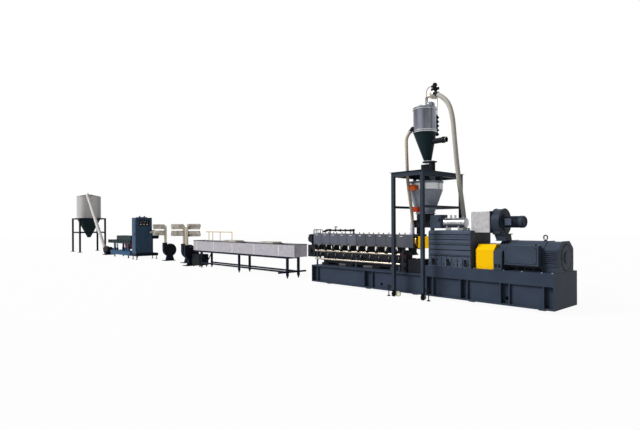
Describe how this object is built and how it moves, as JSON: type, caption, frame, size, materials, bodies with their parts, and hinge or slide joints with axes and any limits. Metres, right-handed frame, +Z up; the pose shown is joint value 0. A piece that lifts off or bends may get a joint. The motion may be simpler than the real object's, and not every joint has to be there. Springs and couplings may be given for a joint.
{
  "type": "strand pelletizing line",
  "caption": "Strand pelletizing line: a twin-screw extruder with feed tower, water trough, air knives, strand pelletizer, vibrating sieve and pellet silo, standing in one row",
  "frame": {"origin": "on the floor under the middle of the extruder base", "axes": "+Z up, +X along the line from the pellet silo to the drive motor, -Y the operator side"},
  "size_m": [28.867, 2.009, 4.7],
  "materials": {
    "air_knives": "brushed",
    "air_risers": "brushed",
    "barrel_covers_left": "satin",
    "barrel_covers_right": "satin",
    "barrel_supports": "satin",
    "barrel_water_lines": "brushed",
    "barrels": "matte",
    "blowers": "satin",
    "conveying_duct": "satin",
    "conveying_fan": "satin",
    "coupling_guard": "satin",
    "die_head": "satin",
    "extruder_base": "satin",
    "fan_filter_box": "satin",
    "fan_motor": "satin",
    "fan_volute": "satin",
    "feed_hose": "matte",
    "feeder": "brushed",
    "feeder_drive": "satin",
    "gearbox": "satin",
    "guide_rollers": "satin",
    "hopper": "brushed",
    "hopper_lid": "brushed",
    "lantern": "satin",
    "lantern_guard": "satin",
    "level_sensors": "satin",
    "loader_body": "brushed",
    "loader_discharge": "brushed",
    "loader_lid": "brushed",
    "main_motor": "satin",
    "motor_terminal_box": "satin",
    "oil_cooler": "brushed",
    "pelletizer_cabinet": "satin",
    "pelletizer_drive": "satin",
    "pelletizer_infeed": "brushed",
    "pelletizer_stand": "satin",
    "sieve_chute": "satin",
    "sieve_deck": "brushed",
    "sieve_frame": "satin",
    "silo_cone": "satin",
    "silo_frame": "satin",
    "silo_roof": "brushed",
    "silo_shell": "brushed",
    "skid_beams": "matte",
    "soft_water_tank": "satin",
    "tower_deck": "satin",
    "tower_feet": "satin",
    "tower_frame": "satin",
    "trough_covers": "brushed",
    "trough_frame": "satin",
    "trough_pump": "satin",
    "trough_rail": "brushed",
    "vacuum_hose": "matte",
    "vacuum_spigot": "brushed",
    "vent_piping": "satin",
    "water_manifolds": "brushed",
    "water_trough": "brushed",
    "water_valves": "satin"
  },
  "bodies": {
    "root": {"air_knives": "air_knives", "air_risers": "air_risers", "barrel_covers_left": "barrel_covers_left", "barrel_covers_right": "barrel_covers_right", "barrel_supports": "barrel_supports", "barrel_water_lines": "barrel_water_lines", "barrels": "barrels", "blowers": "blowers", "conveying_duct": "conveying_duct", "conveying_fan": "conveying_fan", "coupling_guard": "coupling_guard", "die_head": "die_head", "extruder_base": "extruder_base", "fan_filter_box": "fan_filter_box", "fan_motor": "fan_motor", "fan_volute": "fan_volute", "feed_hose": "feed_hose", "feeder": "feeder", "feeder_drive": "feeder_drive", "gearbox": "gearbox", "guide_rollers": "guide_rollers", "hopper": "hopper", "hopper_lid": "hopper_lid", "lantern": "lantern", "lantern_guard": "lantern_guard", "level_sensors": "level_sensors", "loader_body": "loader_body", "loader_discharge": "loader_discharge", "loader_lid": "loader_lid", "main_motor": "main_motor", "motor_terminal_box": "motor_terminal_box", "oil_cooler": "oil_cooler", "pelletizer_cabinet": "pelletizer_cabinet", "pelletizer_drive": "pelletizer_drive", "pelletizer_infeed": "pelletizer_infeed", "pelletizer_stand": "pelletizer_stand", "sieve_chute": "sieve_chute", "sieve_deck": "sieve_deck", "sieve_frame": "sieve_frame", "silo_cone": "silo_cone", "silo_frame": "silo_frame", "silo_roof": "silo_roof", "silo_shell": "silo_shell", "skid_beams": "skid_beams", "soft_water_tank": "soft_water_tank", "tower_deck": "tower_deck", "tower_feet": "tower_feet", "tower_frame": "tower_frame", "trough_covers": "trough_covers", "trough_frame": "trough_frame", "trough_pump": "trough_pump", "trough_rail": "trough_rail", "vacuum_hose": "vacuum_hose", "vacuum_spigot": "vacuum_spigot", "vent_piping": "vent_piping", "water_manifolds": "water_manifolds", "water_trough": "water_trough", "water_valves": "water_valves"}
  },
  "joints": []
}
